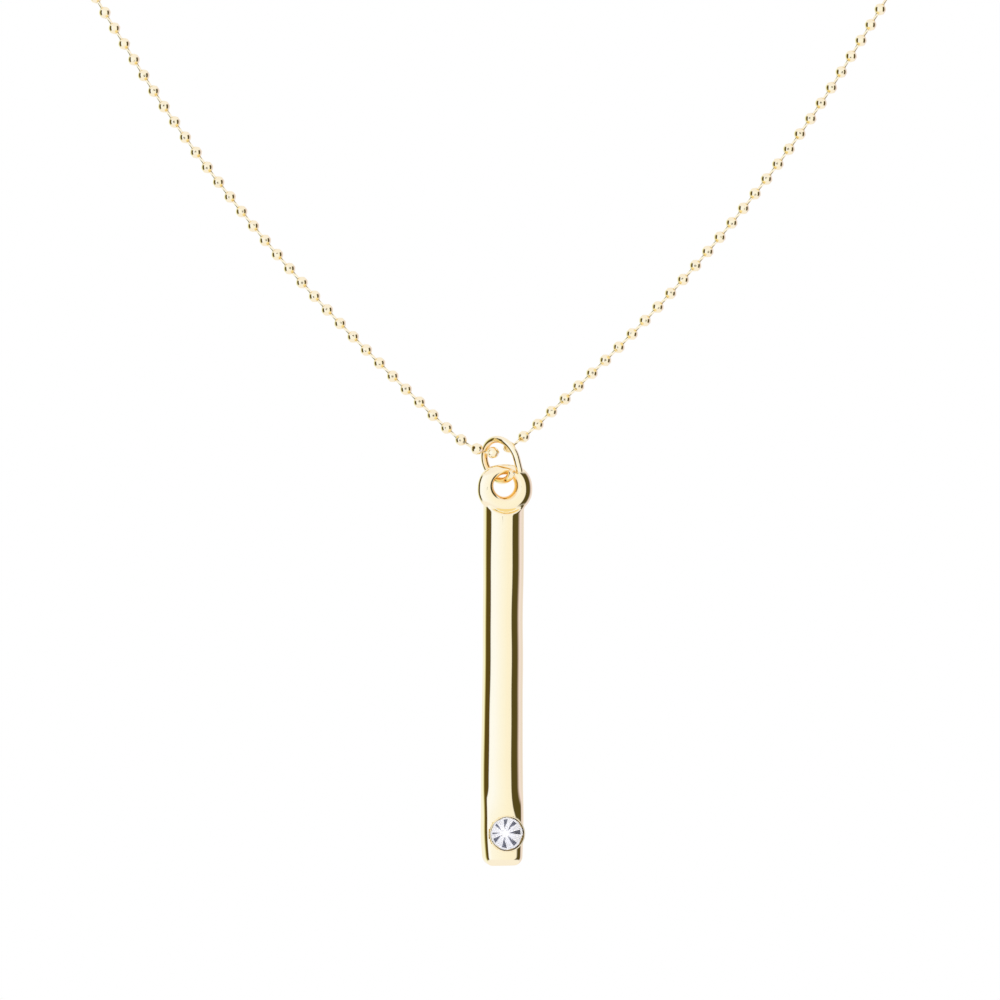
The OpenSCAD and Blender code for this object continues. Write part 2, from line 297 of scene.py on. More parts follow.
def math_node(tree, operation, a, b=None, clamp=False):
    node = tree.nodes.new("ShaderNodeMath")
    node.operation = operation
    node.use_clamp = clamp
    for index, value in enumerate((a, b)):
        if value is None:
            continue
        if isinstance(value, (int, float)):
            node.inputs[index].default_value = value
        else:
            tree.links.new(value, node.inputs[index])
    return node.outputs[0]


# Deep orange painted on as a reflection of gold in gold
PAINTED_REFLECTION_GOLD = (0.96, 0.5, 0.06)


def polish_group():
    """Hand polish: shallow waves, fine wipe marks and a slightly uneven gloss"""
    group, enter, leave = new_group(
        "hand_polish",
        [
            ("Wave scale", "NodeSocketFloat", 160.0),
            ("Wave depth", "NodeSocketFloat", 1.0),
            ("Mark scale", "NodeSocketFloat", 2600.0),
            ("Mark depth", "NodeSocketFloat", 0.03),
            ("Gloss low", "NodeSocketFloat", 0.03),
            ("Gloss high", "NodeSocketFloat", 0.09),
        ],
        [("Height", "NodeSocketFloat"), ("Roughness", "NodeSocketFloat")],
    )
    place = group.nodes.new("ShaderNodeTexCoord")
    waves = group.nodes.new("ShaderNodeTexNoise")
    waves.inputs["Detail"].default_value = 1.0
    group.links.new(place.outputs["Object"], waves.inputs["Vector"])
    group.links.new(enter.outputs["Wave scale"], waves.inputs["Scale"])
    marks = group.nodes.new("ShaderNodeTexNoise")
    marks.inputs["Detail"].default_value = 3.0
    group.links.new(place.outputs["Object"], marks.inputs["Vector"])
    group.links.new(enter.outputs["Mark scale"], marks.inputs["Scale"])
    deep = math_node(group, "MULTIPLY", waves.outputs["Fac"], enter.outputs["Wave depth"])
    fine = math_node(group, "MULTIPLY", marks.outputs["Fac"], enter.outputs["Mark depth"])
    group.links.new(math_node(group, "ADD", deep, fine), leave.inputs["Height"])
    gloss = group.nodes.new("ShaderNodeMapRange")
    group.links.new(marks.outputs["Fac"], gloss.inputs["Value"])
    group.links.new(enter.outputs["Gloss low"], gloss.inputs["To Min"])
    group.links.new(enter.outputs["Gloss high"], gloss.inputs["To Max"])
    group.links.new(gloss.outputs["Result"], leave.inputs["Roughness"])
    return group


def plating_group():
    """Gold plate whose tint drifts a little, with a painted reflection: a deeper orange in the
    hollows, standing in for gold mirrored in gold
    """
    group, enter, leave = new_group(
        "gold_plate",
        [
            ("Tint", "NodeSocketColor", (0.93, 0.77, 0.44, 1)),
            ("Deep tint", "NodeSocketColor", (0.9, 0.7, 0.36, 1)),
            ("Drift scale", "NodeSocketFloat", 300.0),
            ("Painted reflection tint", "NodeSocketColor", (*PAINTED_REFLECTION_GOLD, 1)),
            ("Painted reflection", "NodeSocketFloat", 0.0),
        ],
        [("Color", "NodeSocketColor")],
    )
    place = group.nodes.new("ShaderNodeTexCoord")
    drift = group.nodes.new("ShaderNodeTexNoise")
    drift.inputs["Detail"].default_value = 2.0
    group.links.new(place.outputs["Object"], drift.inputs["Vector"])
    group.links.new(enter.outputs["Drift scale"], drift.inputs["Scale"])
    mix = group.nodes.new("ShaderNodeMix")
    mix.data_type = "RGBA"
    group.links.new(drift.outputs["Fac"], mix.inputs["Factor"])
    group.links.new(enter.outputs["Tint"], mix.inputs[6])
    group.links.new(enter.outputs["Deep tint"], mix.inputs[7])
    painted_reflection = group.nodes.new("ShaderNodeMix")
    painted_reflection.data_type = "RGBA"
    group.links.new(enter.outputs["Painted reflection"], painted_reflection.inputs["Factor"])
    group.links.new(mix.outputs[2], painted_reflection.inputs[6])
    group.links.new(enter.outputs["Painted reflection tint"], painted_reflection.inputs[7])
    group.links.new(painted_reflection.outputs[2], leave.inputs["Color"])
    return group


hand_polish = polish_group()
gold_plate = plating_group()


def new_material(name):
    material = bpy.data.materials.new(name)
    material.use_nodes = True
    return material, material.node_tree, material.node_tree.nodes["Principled BSDF"]


def gold_material(name, tint, deep_tint, wave_depth, mark_depth, gloss, bump):
    """Polished gold plate"""
    material, tree, shader = new_material(name)
    shader.inputs["Metallic"].default_value = 1.0
    shader.inputs["Specular Tint"].default_value = (*RIM_TINT, 1)
    plate = tree.nodes.new("ShaderNodeGroup")
    plate.node_tree = gold_plate
    plate.inputs["Tint"].default_value = (*tint, 1)
    plate.inputs["Deep tint"].default_value = (*deep_tint, 1)
    # Amount of painted reflection stored on the mesh
    painted_reflection = tree.nodes.new("ShaderNodeAttribute")
    painted_reflection.attribute_name = "painted_reflection"
    tree.links.new(painted_reflection.outputs["Fac"], plate.inputs["Painted reflection"])
    tree.links.new(plate.outputs["Color"], shader.inputs["Base Color"])
    polish = tree.nodes.new("ShaderNodeGroup")
    polish.node_tree = hand_polish
    polish.inputs["Wave depth"].default_value = wave_depth
    polish.inputs["Mark depth"].default_value = mark_depth
    polish.inputs["Gloss low"].default_value = gloss[0]
    polish.inputs["Gloss high"].default_value = gloss[1]
    tree.links.new(polish.outputs["Roughness"], shader.inputs["Roughness"])
    relief = tree.nodes.new("ShaderNodeBump")
    relief.inputs["Strength"].default_value = bump
    relief.inputs["Distance"].default_value = 0.05 * MM
    tree.links.new(polish.outputs["Height"], relief.inputs["Height"])
    tree.links.new(relief.outputs["Normal"], shader.inputs["Normal"])
    return material


def crystal_material():
    """Clear cut crystal"""
    material, _, shader = new_material("clear_crystal")
    shader.inputs["Base Color"].default_value = (1, 1, 1, 1)
    shader.inputs["Metallic"].default_value = 0.0
    shader.inputs["Roughness"].default_value = 0.0
    shader.inputs["IOR"].default_value = 1.56
    shader.inputs["Transmission Weight"].default_value = 1.0
    return material


def foil_material(name, tint, painted_glow):
    """Foil behind the crystal's pavilion, glowing with painted light"""
    material, _, shader = new_material(name)
    shader.inputs["Base Color"].default_value = (*tint, 1)
    shader.inputs["Metallic"].default_value = 0.2
    shader.inputs["Roughness"].default_value = 0.35
    shader.inputs["Emission Color"].default_value = (1, 1, 1, 1)
    shader.inputs["Emission Strength"].default_value = painted_glow
    return material


GOLD = (0.97, 0.81, 0.42)
DEEP_GOLD = (0.97, 0.8, 0.405)
SHADE_GOLD = (0.16, 0.12, 0.07)
RIM_TINT = (1.0, 0.93, 0.75)
bar_gold = gold_material("bar_gold_polish", GOLD, DEEP_GOLD, 1.0, 0.03, (0.03, 0.06), 0.35)
ring_gold = gold_material("ring_gold_polish", GOLD, DEEP_GOLD, 0.6, 0.05, (0.04, 0.09), 0.3)
cup_shade = gold_material("cup_shade_gold", SHADE_GOLD, SHADE_GOLD, 0.6, 0.05, (0.1, 0.2), 0.3)
chain_gold = gold_material("chain_gold_cut", GOLD, DEEP_GOLD, 0.2, 0.03, (0.04, 0.1), 0.2)
clear_crystal = crystal_material()
# The silver foil glows with painted light
silver_foil = foil_material("silver_foil", (0.97, 0.93, 0.82), 0.3)
# Dark foil painted on the narrow facets as a reflection of dark surroundings
painted_dark_reflection_foil = foil_material("painted_dark_reflection_foil", (0.13, 0.13, 0.14), 0.02)


# The bar as a field, negative inside the metal


def round_both(a, b, r):
    """Where both solids are, with their common edge rounded"""
    u = np.maximum(a + r, 0)
    v = np.maximum(b + r, 0)
    return np.minimum(-r, np.maximum(a, b)) + np.hypot(u, v)


def soft_join(a, b, r):
    """Either solid, with a fillet between them"""
    u = np.maximum(r - a, 0)
    v = np.maximum(r - b, 0)
    return np.maximum(r, np.minimum(a, b)) - np.hypot(u, v)


def bar_section(x, y, rise):
    """Rounded front, soft front edges and smaller back edges"""
    front_r = (BAR_HALF**2 + rise**2) / (2 * rise)
    front_centre = BAR_FRONT + front_r
    edge_x = BAR_HALF - FRONT_EDGE
    turn = np.arcsin(edge_x / (front_r - FRONT_EDGE))
    edge_y = front_centre - (front_r - FRONT_EDGE) * np.cos(turn)
    across = np.abs(x)
    side = across - BAR_HALF
    front = np.maximum(np.hypot(across, y - front_centre) - front_r, side)
    dx = across - edge_x
    dy = y - edge_y
    on_edge = (dx * np.cos(turn) + dy * np.sin(turn) > 0) & (dy < 0)
    front = np.where(on_edge, np.hypot(dx, dy) - FRONT_EDGE, front)
    front = np.where(y > front_centre, side, front)
    return round_both(front, y - BAR_BACK, BACK_EDGE)


def front_rise(z):
    """Rise of the rounded front, which gets squarer from the crystal down"""
    near = np.clip((z - STONE_Z - SWELL_NEAR) / (SWELL_FAR - SWELL_NEAR), 0, 1)
    near = near * near * (3 - 2 * near)
    return SWELL_RISE + (FRONT_RISE - SWELL_RISE) * near


def loop_metal(x, y, z):
    """Flat round the hole, domed towards a small outer edge, a little squarer than a circle"""
    wide = np.abs(x) / LOOP_WIDE
    run = LOOP_R - LOOP_EDGE - LOOP_CREST_R
    dome_r = (run**2 + LOOP_HALF**2 - LOOP_EDGE**2) / (2 * (LOOP_HALF - LOOP_EDGE))
    dome_in = dome_r - LOOP_HALF
    height = z - LOOP_LIFT
    height = height / np.where(height < 0, LOOP_LOW, LOOP_TOP)
    rho = (wide**LOOP_SQUARE + np.abs(height) ** LOOP_SQUARE) ** (1 / LOOP_SQUARE)
    rho = np.where(height < 0, np.hypot(wide, height), rho)
    out = np.abs(y)
    dome = np.hypot(rho - LOOP_CREST_R, out + dome_in) - dome_r
    dome = np.where(rho < LOOP_CREST_R, out - LOOP_HALF, dome)
    edge = np.hypot(rho - LOOP_CREST_R - run, out) - LOOP_EDGE
    beyond = (rho - LOOP_CREST_R) * dome_in > (out + dome_in) * run
    disc = np.where(beyond & (rho > LOOP_CREST_R), edge, dome)
    hole = HOLE_R - np.hypot(x - HOLE_AT[0], z - HOLE_AT[1])
    return round_both(disc, hole, HOLE_EDGE)


def cup_hollow(x, y, z):
    """Straight under the crystal's girdle, then narrowing to the point of its pavilion"""
    deep = y - RIM_FRONT
    straight = CROWN_H + GIRDLE_H + STONE_GAP
    slope = (CUP_MIDDLE - CUP_FOOT_R) / PAVILION_H
    wall = CUP_MIDDLE - slope * np.maximum(deep - straight, 0)
    across = np.hypot(x - STONE_ASIDE, z - STONE_Z)
    return np.maximum(across - wall, deep - straight - PAVILION_H)


def bar_width(z):
    """Share of the plain width that the bar has at a height"""
    height = (z - FOOT) / BAR_LEN
    slim = np.clip((height - WAIST_FROM) / (WAIST_TO - WAIST_FROM), 0, 1)
    slim = slim * slim * (3 - 2 * slim)
    dip = np.exp(-(((height - DIP_AT) * BAR_LEN / DIP_LENGTH) ** 2))
    return WIDTH_SHARE - WAIST * slim - DIP * dip


def bar_metal(p):
    """Bar and loop in one"""
    x, y, z = p[..., 0], p[..., 1], p[..., 2]
    wave = np.sin(z / LONG_WAVE + LONG_SLANT * x)
    wave = wave + SHORT_SHARE * np.sin(z / SHORT_WAVE - SHORT_SLANT * x + SHORT_START)
    wave = WAVE * wave
    low = np.clip(1 - (z - FOOT) / FOOT_TAPER_H, 0, 1)
    bar_x = x / bar_width(z)
    reach = np.clip(np.abs(x) / BAR_HALF, 0, 1) ** 2
    bar_x = bar_x - FOOT_TAPER * low**2 * reach * np.where(x < 0, 1, FOOT_TAPER_RIGHT)
    body = round_both(bar_section(bar_x, y, front_rise(z)), FOOT - z, FOOT_EDGE)
    body = round_both(body, z + SHOULDER_DROP, SHOULDER_EDGE)
    body = round_both(body, COLLAR_R - np.hypot(x, z), COLLAR_EDGE)
    body = body + wave
    body = np.maximum(body, -cup_hollow(x, y, z))
    return soft_join(body, loop_metal(x, y, z), LOOP_FILLET)


def slope_of(field, points, step=SLOPE_STEP):
    """Direction in which a field grows fastest at each point"""
    columns = []
    for axis in range(3):
        shift = np.zeros(3)
        shift[axis] = step
        columns.append((field(points + shift) - field(points - shift)) / (2 * step))
    return np.stack(columns, -1)


def skin_of(field, low, high, cell):
    """Closed skin of four-sided faces over a solid given by its field"""
    counts = [int(math.ceil((h - l) / cell)) + 1 for l, h in zip(low, high)]
    lines = [l + cell * np.arange(n) for l, n in zip(low, counts)]
    grid = np.stack(np.meshgrid(*lines, indexing="ij"), -1)
    value = field(grid)
    inside = value < 0
    cells = tuple(n - 1 for n in counts)
    total = np.zeros(cells + (3,))
    hits = np.zeros(cells)
    crossings = []
    for axis in range(3):
        near = [slice(None)] * 3
        far = [slice(None)] * 3
        near[axis] = slice(0, -1)
        far[axis] = slice(1, None)
        a = value[tuple(near)]
        b = value[tuple(far)]
        crossed = inside[tuple(near)] != inside[tuple(far)]
        share = np.where(crossed, a / np.where(crossed, a - b, 1), 0)
        spot = grid[tuple(near)].copy()
        spot[..., axis] += share * cell
        spot = spot * crossed[..., None]
        first, second = [k for k in range(3) if k != axis]
        for i in (0, 1):
            for j in (0, 1):
                part = [slice(None)] * 3
                part[first] = slice(i, counts[first] - 1 + i)
                part[second] = slice(j, counts[second] - 1 + j)
                total += spot[tuple(part)]
                hits += crossed[tuple(part)]
        crossings.append((axis, first, second, crossed, inside[tuple(near)]))
    used = hits > 0
    index = np.full(cells, -1)
    index[used] = np.arange(used.sum())
    points = total[used] / hits[used][:, None]
    faces = []
    for axis, first, second, crossed, starts_inside in crossings:
        spots = np.argwhere(crossed)
        corners = []
        for i, j in ((-1, -1), (0, -1), (0, 0), (-1, 0)):
            cell_at = spots.copy()
            cell_at[:, first] += i
            cell_at[:, second] += j
            corners.append(index[tuple(cell_at.T)])
        quads = np.stack(corners, -1)
        flip = starts_inside[tuple(spots.T)]
        if axis == 1:
            flip = ~flip
        quads[~flip] = quads[~flip][:, ::-1]
        faces.append(quads)
    return points, np.concatenate(faces)


def settle(field, points):
    """Moves points onto the surface of a field and gives the surface's directions there"""
    for _ in range(SETTLE_ROUNDS):
        slope = slope_of(field, points)
        steep = np.maximum((slope**2).sum(-1), SLOPE_LEAST)
        step = field(points)[:, None] * slope / steep[:, None]
        most = SETTLE_MOST * SKIN_CELL
        points = points - np.clip(step, -most, most)
    slope = slope_of(field, points)
    return points, slope / np.linalg.norm(slope, axis=-1, keepdims=True)


def lathe(profile, sides):
    """A closed ring of revolution round the Y axis from points (radius, y)"""
    points = []
    for step in range(sides):
        a = 2 * math.pi * step / sides
        points += [(r * math.cos(a), y, r * math.sin(a)) for r, y in profile]
    count = len(profile)
    faces = []
    for step in range(sides):
        for k in range(count):
            here = step * count
            there = (step + 1) % sides * count
            after = (k + 1) % count
            faces.append((here + k, there + k, there + after, here + after))
    return np.array(points), faces


def rim_profile():
    """Section of the cup's rim: straight inside, a round lip, straight outside"""
    lip = (RIM_R - CUP_R) / 2
    arc = []
    for degrees in range(0, 181, RIM_ARC_STEP):
        a = math.radians(degrees)
        arc.append((CUP_MIDDLE - lip * math.cos(a), RIM_FRONT + lip - lip * math.sin(a)))
    deep = RIM_FRONT + RIM_SINK + RIM_PAST
    return [(CUP_R, deep)] + arc + [(RIM_R, deep)]


def hole_painted_reflection(points):
    """Painted reflection: one on the wall of the loop's hole, fading outwards, and less on its
    left side
    """
    x = points[:, 0] - HOLE_AT[0]
    z = points[:, 2] - HOLE_AT[1]
    near = np.clip(1 - (np.hypot(x, z) - HOLE_R) / PAINTED_REFLECTION_RUN, 0, 1)
    side = np.cos(np.arctan2(z, x) - math.radians(PAINTED_REFLECTION_SIDE))
    return near * np.clip(PAINTED_REFLECTION_EVEN + PAINTED_REFLECTION_LEAN * side, 0, 1)


def make_bar():
    """Cast bar with its loop, the swell at its foot and the crystal's cup"""
    margin = SKIN_MARGIN * SKIN_CELL
    side = LOOP_R * LOOP_WIDE + margin
    low = (-side, BAR_FRONT - margin, FOOT - margin)
    high = (side, BAR_BACK + margin, LOOP_R + margin)
    points, faces = skin_of(bar_metal, low, high, SKIN_CELL)
    points, normals = settle(bar_metal, points)
    rim_points, rim_faces = lathe(rim_profile(), RIM_SIDES)
    rim_points = rim_points + np.array((STONE_ASIDE, 0, STONE_Z))
    offset = len(points)
    all_points = np.concatenate((points, rim_points))
    all_faces = faces.tolist() + [tuple(i + offset for i in f) for f in rim_faces]
    shaded = [i % len(rim_profile()) < RIM_SHADED for i in range(len(rim_faces))]
    bar = mesh_piece(
        "pendant_bar",
        hung(all_points),
        all_faces,
        "pendant",
        [bar_gold, cup_shade],
        [0] * len(faces) + [int(s) for s in shaded],
    )
    # Painted reflection of gold in gold on the wall of the loop's hole
    mark_painted_reflection(bar, hole_painted_reflection(all_points))
    mesh = bar.data
    flat = np.zeros(len(mesh.vertices) * 3, np.float32)
    mesh.vertices.foreach_get("normal", flat)
    own = flat.reshape(-1, 3)
    own[:offset] = normals @ np.array(bar_turn).T
    mesh.normals_split_custom_set_from_vertices(own.tolist())
    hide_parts("bar")


def make_stone():
    """Cut crystal on foil: table, crown, girdle, and narrow facets painted dark as reflections
    between bright ones
    """
    n = len(WEDGES)
    wedges = sorted(WEDGES)
    corners = [angle + side * half for angle, half in wedges for side in (-1, 1)]
    middles = [angle for angle, half in wedges]

    def around(radius, angles, depth):
        """Points of the stone at one depth behind its table"""
        made = []
        for degrees in angles:
            a = math.radians(degrees)
            made.append(
                (
                    STONE_ASIDE + radius * math.cos(a),
                    RIM_FRONT + depth,
                    STONE_Z + radius * math.sin(a),
                )
            )
        return made

    girdle = SKIN_CROWN_H + GIRDLE_H
    deep = CROWN_H - SKIN_CROWN_H + PAVILION_H
    points = around(STONE_R * TABLE_SHARE, middles, 0)
    points += around(STONE_R, corners, SKIN_CROWN_H)
    points += around(STONE_R, corners, girdle)
    points += around(STONE_R * WEDGE_OUT, corners, girdle + deep * (1 - WEDGE_OUT))
    points += around(STONE_R * WEDGE_IN, middles, girdle + deep * (1 - WEDGE_IN))
    points += around(0, [0], girdle + deep)
    upper = n
    lower = 3 * n
    outer = 5 * n
    inner = 7 * n
    culet = 8 * n
    crown = [list(range(n))]
    painted_dark = []
    bright = []
    for i in range(n):
        after = (i + 1) % n
        left = 2 * i
        right = 2 * i + 1
        beyond = 2 * after
        crown.append([i, upper + left, upper + right])
        crown.append([i, upper + right, after])
        crown.append([after, upper + right, upper + beyond])
        crown.append([upper + left, lower + left, lower + right, upper + right])
        crown.append([upper + right, lower + right, lower + beyond, upper + beyond])
        # Narrow facets painted dark as reflections
        painted_dark.append([inner + i, outer + right, outer + left])
        bright.append([outer + left, outer + right, lower + right, lower + left])
        bright.append([outer + right, outer + beyond, lower + beyond, lower + right])
        bright.append([inner + i, inner + after, outer + beyond])
        bright.append([inner + i, outer + beyond, outer + right])
        bright.append([culet, inner + after, inner + i])
    material = [0] * len(crown) + [1] * len(bright) + [2] * len(painted_dark)
    stone = mesh_piece(
        "crystal_stone",
        hung(points),
        crown + bright + painted_dark,
        "pendant",
        [clear_crystal, silver_foil, painted_dark_reflection_foil],
        material,
        smooth=False,
    )
    skin = bmesh.new()
    skin.from_mesh(stone.data)
    bmesh.ops.recalc_face_normals(skin, faces=skin.faces)
    skin.to_mesh(stone.data)
    skin.free()
    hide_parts("stone")


def ring_axes():
    """Level direction in the ring's plane, the one square to it, and the plane's normal"""
    yaw = math.radians(RING_YAW)
    lean = math.radians(RING_LEAN)
    across = np.array((math.cos(yaw), -math.sin(yaw), 0))
    ahead = np.array((math.sin(yaw), math.cos(yaw), 0))
    rise = np.array((0, 0, 1))
    up = math.cos(lean) * rise - math.sin(lean) * ahead
    normal = math.cos(lean) * ahead + math.sin(lean) * rise
    return across, up, normal


def ring_line(s):
    """Point at length s on the jump ring's wire"""
    across, up, normal = ring_axes()
    turn = 360 + RING_OPEN
    arc = math.radians(turn) * RING_R
    length = arc + RING_STUB
    if s < arc:
        a = math.radians(RING_OPEN - s / arc * turn)
        flat = RING_R * (math.cos(a) * across + math.sin(a) * up)
    else:
        flat = RING_R * across - (s - arc) * up
    return ring_middle + flat + (RING_FIRST + s / length * RING_SPREAD) * normal


def make_ring():
    """Round wire, cut off square at both ends, with a painted reflection on its inner side"""
    normal = ring_axes()[2]
    length = math.radians(360 + RING_OPEN) * RING_R + RING_STUB
    wire = RING_WIRE / 2
    stops = [(0, wire - RING_CUT_EDGE), (0.4 * RING_CUT_EDGE, wire - 0.3 * RING_CUT_EDGE)]
    stops += [(s, wire) for s in np.linspace(RING_CUT_EDGE, length - RING_CUT_EDGE, RING_STEPS)]
    stops += [
        (length - 0.4 * RING_CUT_EDGE, wire - 0.3 * RING_CUT_EDGE),
        (length, wire - RING_CUT_EDGE),
    ]
    points = []
    painted_reflection_inside = []
    for s, r in stops:
        to_middle = ring_middle - ring_line(s)
        to_middle /= np.linalg.norm(to_middle)
        way = ring_line(min(s + 0.02, length)) - ring_line(max(s - 0.02, 0))
        way /= np.linalg.norm(way)
        u = np.cross(normal, way)
        u /= np.linalg.norm(u)
        v = np.cross(way, u)
        for k in range(RING_SIDES):
            a = 2 * math.pi * k / RING_SIDES
            out_way = math.cos(a) * u + math.sin(a) * v
            points.append(ring_line(s) + r * out_way)
            # Painted reflection on the side facing the ring's middle
            painted_reflection_inside.append(RING_PAINTED_REFLECTION * max(0, out_way @ to_middle))
    faces = []
    for i in range(len(stops) - 1):
        for k in range(RING_SIDES):
            after = (k + 1) % RING_SIDES
            faces.append(
                (
                    i * RING_SIDES + k,
                    i * RING_SIDES + after,
                    (i + 1) * RING_SIDES + after,
                    (i + 1) * RING_SIDES + k,
                )
            )
    last = (len(stops) - 1) * RING_SIDES
    faces.append(tuple(range(RING_SIDES - 1, -1, -1)))
    faces.append(tuple(last + k for k in range(RING_SIDES)))
    ring = mesh_piece("wire_ring", points, faces, "ring", [ring_gold])
    mark_painted_reflection(ring, painted_reflection_inside)
    for edge in ring.data.edges:
        if {i // RING_SIDES for i in edge.vertices} in ({0}, {len(stops) - 1}):
            edge.use_edge_sharp = True
    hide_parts("jump_ring")


# The chain: one cut bead, copied along the strand and joined by pins


def cut_bead():
    """A bead with flats cut round it, open at both poles: points, faces, sharp edges, poles"""
    bead = bmesh.new()
    mouth = math.degrees(math.asin(BEAD_MOUTH / BEAD_SKIN_R))
    rows = []
    for i in range(BEAD_RINGS + 1):
        polar = math.radians(mouth + (180 - 2 * mouth) * i / BEAD_RINGS)
        row = []
        for k in range(BEAD_SIDES):
            a = 2 * math.pi * k / BEAD_SIDES
            spot = (math.sin(polar) * math.cos(a), math.sin(polar) * math.sin(a), math.cos(polar))
            row.append(bead.verts.new(Vector(spot) * BEAD_SKIN_R))
        rows.append(row)
    for upper, lower in zip(rows, rows[1:]):
        for k in range(BEAD_SIDES):
            after = (k + 1) % BEAD_SIDES
            bead.faces.new((upper[k], lower[k], lower[after], upper[after]))
    flats = []
    rows_of_flats = ((0, FLAT_ANGLE), (ROW_LATITUDE, ROW_ANGLE), (-ROW_LATITUDE, ROW_ANGLE))
    for latitude, spread in rows_of_flats:
        for k in range(FLATS_ROUND):
            flats.append((latitude, 360 * k / FLATS_ROUND, spread))
    for latitude, around, spread in flats:
        up = math.radians(latitude)
        a = math.radians(around)
        way = Vector((math.cos(up) * math.cos(a), math.cos(up) * math.sin(a), math.sin(up)))
        cut = bmesh.ops.bisect_plane(
            bead,
            geom=bead.verts[:] + bead.edges[:] + bead.faces[:],
            plane_co=way * BEAD_SKIN_R * math.cos(math.radians(spread)),
            plane_no=way,
            clear_outer=True,
            dist=1e-5,
        )
        edges = [e for e in cut["geom_cut"] if isinstance(e, bmesh.types.BMEdge)]
        filled = bmesh.ops.edgeloop_fill(bead, edges=edges)
        for face in filled["faces"]:
            face.normal_update()
            if face.normal.dot(way) < 0:
                face.normal_flip()
            for edge in face.edges:
                edge.smooth = False
        half = BEAD_SKIN_R * math.sin(math.radians(spread))
        rise = half * math.tan(math.radians(FLAT_DOME))
        domed = bmesh.ops.poke(bead, faces=filled["faces"], offset=rise)
        for vert in domed["verts"]:
            for edge in vert.link_edges:
                edge.smooth = True
    bead.verts.ensure_lookup_table()
    bead.verts.index_update()
    points = np.array([v.co[:] for v in bead.verts])
    faces = [[v.index for v in f.verts] for f in bead.faces]
    sharp = [(e.verts[0].index, e.verts[1].index) for e in bead.edges if not e.smooth]
    poles = []
    top = BEAD_SKIN_R * math.cos(math.radians(mouth))
    for side in (-1, 1):
        loop = [i for i, p in enumerate(points) if abs(p[2] - side * top) < 1e-5]
        loop.sort(key=lambda i: math.atan2(points[i][1], points[i][0]))
        poles.append(loop)
    bead.free()
    return points, faces, sharp, poles


def strand_frames(beads, before, rng):
    """Turn of each bead: its third axis runs along the strand, its first faces the viewer"""
    frames = []
    for i, middle in enumerate(beads):
        back = beads[i - 1] if i else before
        ahead = beads[i + 1] if i + 1 < len(beads) else middle
        way = ahead - back
        way /= np.linalg.norm(way)
        face = VIEWER - middle
        face /= np.linalg.norm(face)
        tip = math.asin(np.clip(face @ way, -1, 1)) + math.radians(rng.uniform(-1, 1) * TIP_JITTER)
        tip = np.clip(tip, -math.radians(TIP_MOST), math.radians(TIP_MOST))
        level = face - way * (face @ way)
        level /= np.linalg.norm(level)
        face = math.cos(tip) * level + math.sin(tip) * way
        pole = math.cos(tip) * way - math.sin(tip) * level
        roll = math.radians(rng.uniform(-1, 1) * ROLL_JITTER)
        side = np.cross(pole, face)
        turned = math.cos(roll) * face + math.sin(roll) * side
        frames.append(np.stack((turned, np.cross(pole, turned), pole), -1))
    return frames


# Radius and distance from the bead's middle of the collar and the pin beside it
PIN_PROFILE = ((0.20, 0.515), (0.205, 0.6), (PIN_R, 0.66))


def make_strand(name, beads, before, nodes):
    """One strand of cut beads and the pins between them, as one skin"""
    shape, shape_faces, shape_sharp, (bottom, top) = cut_bead()
    frames = strand_frames(beads, before, np.random.default_rng(ROLL_SEED))
    points = []
    faces = []
    sharp = []
    count = 0
    last_loop = None

    def hoops(loop, offset, middle, turn, side):
        """Loops of the collar and pin beside a bead, from its mouth outwards"""
        nonlocal count
        made = [[offset + i for i in loop]]
        angles = [math.atan2(shape[i][1], shape[i][0]) for i in loop]
        for r, z in PIN_PROFILE:
            spots = np.array([(r * math.cos(a), r * math.sin(a), side * z) for a in angles])
            points.append(spots @ turn.T + middle)
            made.append(list(range(count, count + len(loop))))
            count += len(loop)
        return made

    def bridge(a, b):
        n = len(a)
        for k in range(n):
            faces.append((a[k], a[(k + 1) % n], b[(k + 1) % n], b[k]))

    for i, (middle, turn) in enumerate(zip(beads, frames)):
        offset = count
        points.append(shape @ turn.T + middle)
        count += len(shape)
        faces += [[offset + k for k in f] for f in shape_faces]
        sharp += [(offset + a, offset + b) for a, b in shape_sharp]
        low = hoops(bottom, offset, middle, turn, -1)
        for a, b in zip(low, low[1:]):
            bridge(b, a)
        if last_loop is not None:
            bridge(last_loop, low[-1])
        else:
            faces.append(list(reversed(low[-1])))
        high = hoops(top, offset, middle, turn, 1)
        for a, b in zip(high, high[1:]):
            bridge(a, b)
        last_loop = high[-1]
    faces.append(list(last_loop))
    strand = mesh_piece(
        name, np.concatenate(points), faces, "chain", [chain_gold]
    )
    marks = set(tuple(sorted(e)) for e in sharp)
    mesh = strand.data
    ends = np.zeros(len(mesh.edges) * 2, np.int32)
    mesh.edges.foreach_get("vertices", ends)
    ends = np.sort(ends.reshape(-1, 2), axis=1)
    flags = [tuple(e) in marks for e in ends.tolist()]
    mesh.edges.foreach_set("use_edge_sharp", flags)
    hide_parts(*nodes)


# Studio


def make_camera():
    """Straight on, as the photograph is taken"""
    data = bpy.data.cameras.new("camera")
    data.lens = VIEW_LENS
    data.sensor_width = SENSOR
    camera = bpy.data.objects.new("camera", data)
    camera.location = Vector(VIEWER) * MM
    camera.rotation_euler = (math.radians(90), 0, 0)
    data.clip_start = 0.01
    data.clip_end = 100
    bpy.context.scene.collection.objects.link(camera)
    bpy.context.scene.camera = camera


